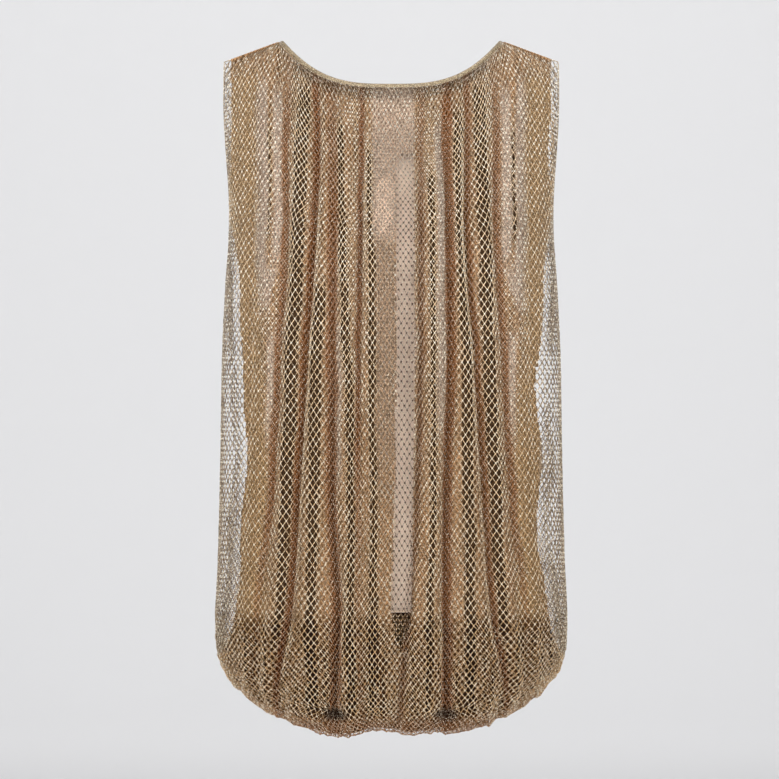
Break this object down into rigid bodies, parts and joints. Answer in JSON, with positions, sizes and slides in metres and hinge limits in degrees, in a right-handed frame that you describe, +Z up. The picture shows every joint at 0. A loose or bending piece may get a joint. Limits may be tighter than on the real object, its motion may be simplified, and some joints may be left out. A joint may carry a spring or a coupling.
{
  "type": "sleeveless mesh top",
  "caption": "Sleeveless fishnet top gathered into a narrow neck binding, with a balloon hem turned under to a gathered band, over a plain A-line tank lining.",
  "frame": {"origin": "between the wearer's shoulders, at the height of the middle of the shoulder seams", "axes": "+Z up to the neck, -Y out of the front, +X to the wearer's left"},
  "size_m": [0.372, 0.2717, 0.7365],
  "materials": {
    "gold_net": "gold metallic yarn net with a sparkle",
    "nude_jersey": "matt fine jersey"
  },
  "bodies": {
    "root": {"mesh_front": "gold_net", "mesh_back": "gold_net", "neck_binding": "gold_net", "hem_band": "gold_net", "lining_front": "nude_jersey", "lining_back": "nude_jersey"}
  },
  "joints": []
}
